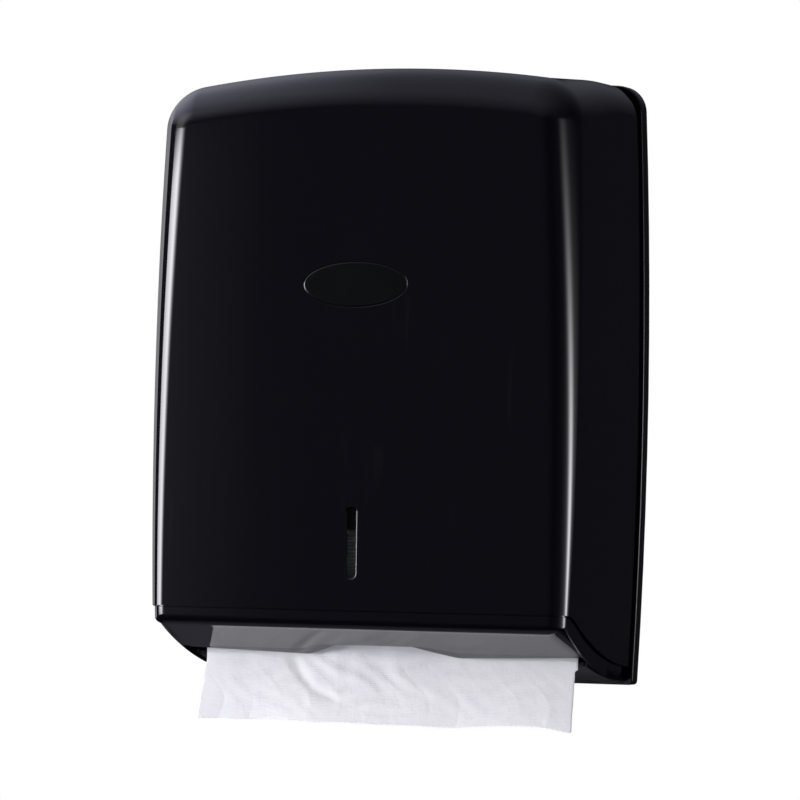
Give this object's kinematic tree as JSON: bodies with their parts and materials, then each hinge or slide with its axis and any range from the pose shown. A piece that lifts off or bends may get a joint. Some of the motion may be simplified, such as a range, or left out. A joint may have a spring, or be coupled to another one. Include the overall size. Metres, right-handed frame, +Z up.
{
  "type": "paper towel dispenser",
  "caption": "Wall dispenser for folded paper towels: glossy cover hinged at the bottom, key lock on top, sight window and a sloping outlet tray with a finger scallop.",
  "frame": {"origin": "on the wall plane, in the middle of the four wall screw holes, at half the height of the back plate", "axes": "+X to the right seen from the front, +Y into the wall, +Z up"},
  "size_m": [0.27, 0.12, 0.381],
  "materials": {
    "cover_plastic": "glossy black moulding",
    "tray_plastic": "glossy black moulding",
    "back_plate_plastic": "black moulding with a satin inside",
    "badge_plastic": "bare satin black inlay",
    "smoked_window": "smoked clear strip",
    "guide_plastic": "dark satin moulding",
    "steel": "zinc plated",
    "lock_metal": "nickel plated",
    "lock_brass": "turned",
    "towel_paper": "soft white tissue"
  },
  "bodies": {
    "base": {"back_plate": "back_plate_plastic", "outlet_tray": "tray_plastic", "left_hinge_pin": "steel", "right_hinge_pin": "steel", "lock_strike": "steel", "strike_screws": "steel", "left_stack_guide": "guide_plastic", "right_stack_guide": "guide_plastic", "guide_screws": "steel", "tray_screws": "steel", "towel_stack": "towel_paper"},
    "cover": {"front_cover": "cover_plastic", "badge_plate": "badge_plastic", "level_window": "smoked_window", "lock_barrel": "lock_metal", "lock_washer": "steel", "lock_nut": "lock_metal"},
    "lock": {"lock_core": "lock_brass", "lock_cam": "steel", "cam_screw": "steel"},
    "towel": {"leading_towel": "towel_paper"}
  },
  "joints": [
    {"name": "cover_hinge", "type": "hinge", "parent": "base", "child": "cover", "pos_m": [0, -0.024, -0.16137], "axis": [1, 0, 0], "range_deg": [0, 90]},
    {"name": "lock_turn", "type": "hinge", "parent": "cover", "child": "lock", "pos_m": [0, -0.042, 0.16], "axis": [0, 0, -1], "range_deg": [0, 90]},
    {"name": "towel_pull", "type": "slide", "parent": "base", "child": "towel", "axis": [0, 0, -1], "range_m": [0, 0.014]}
  ]
}
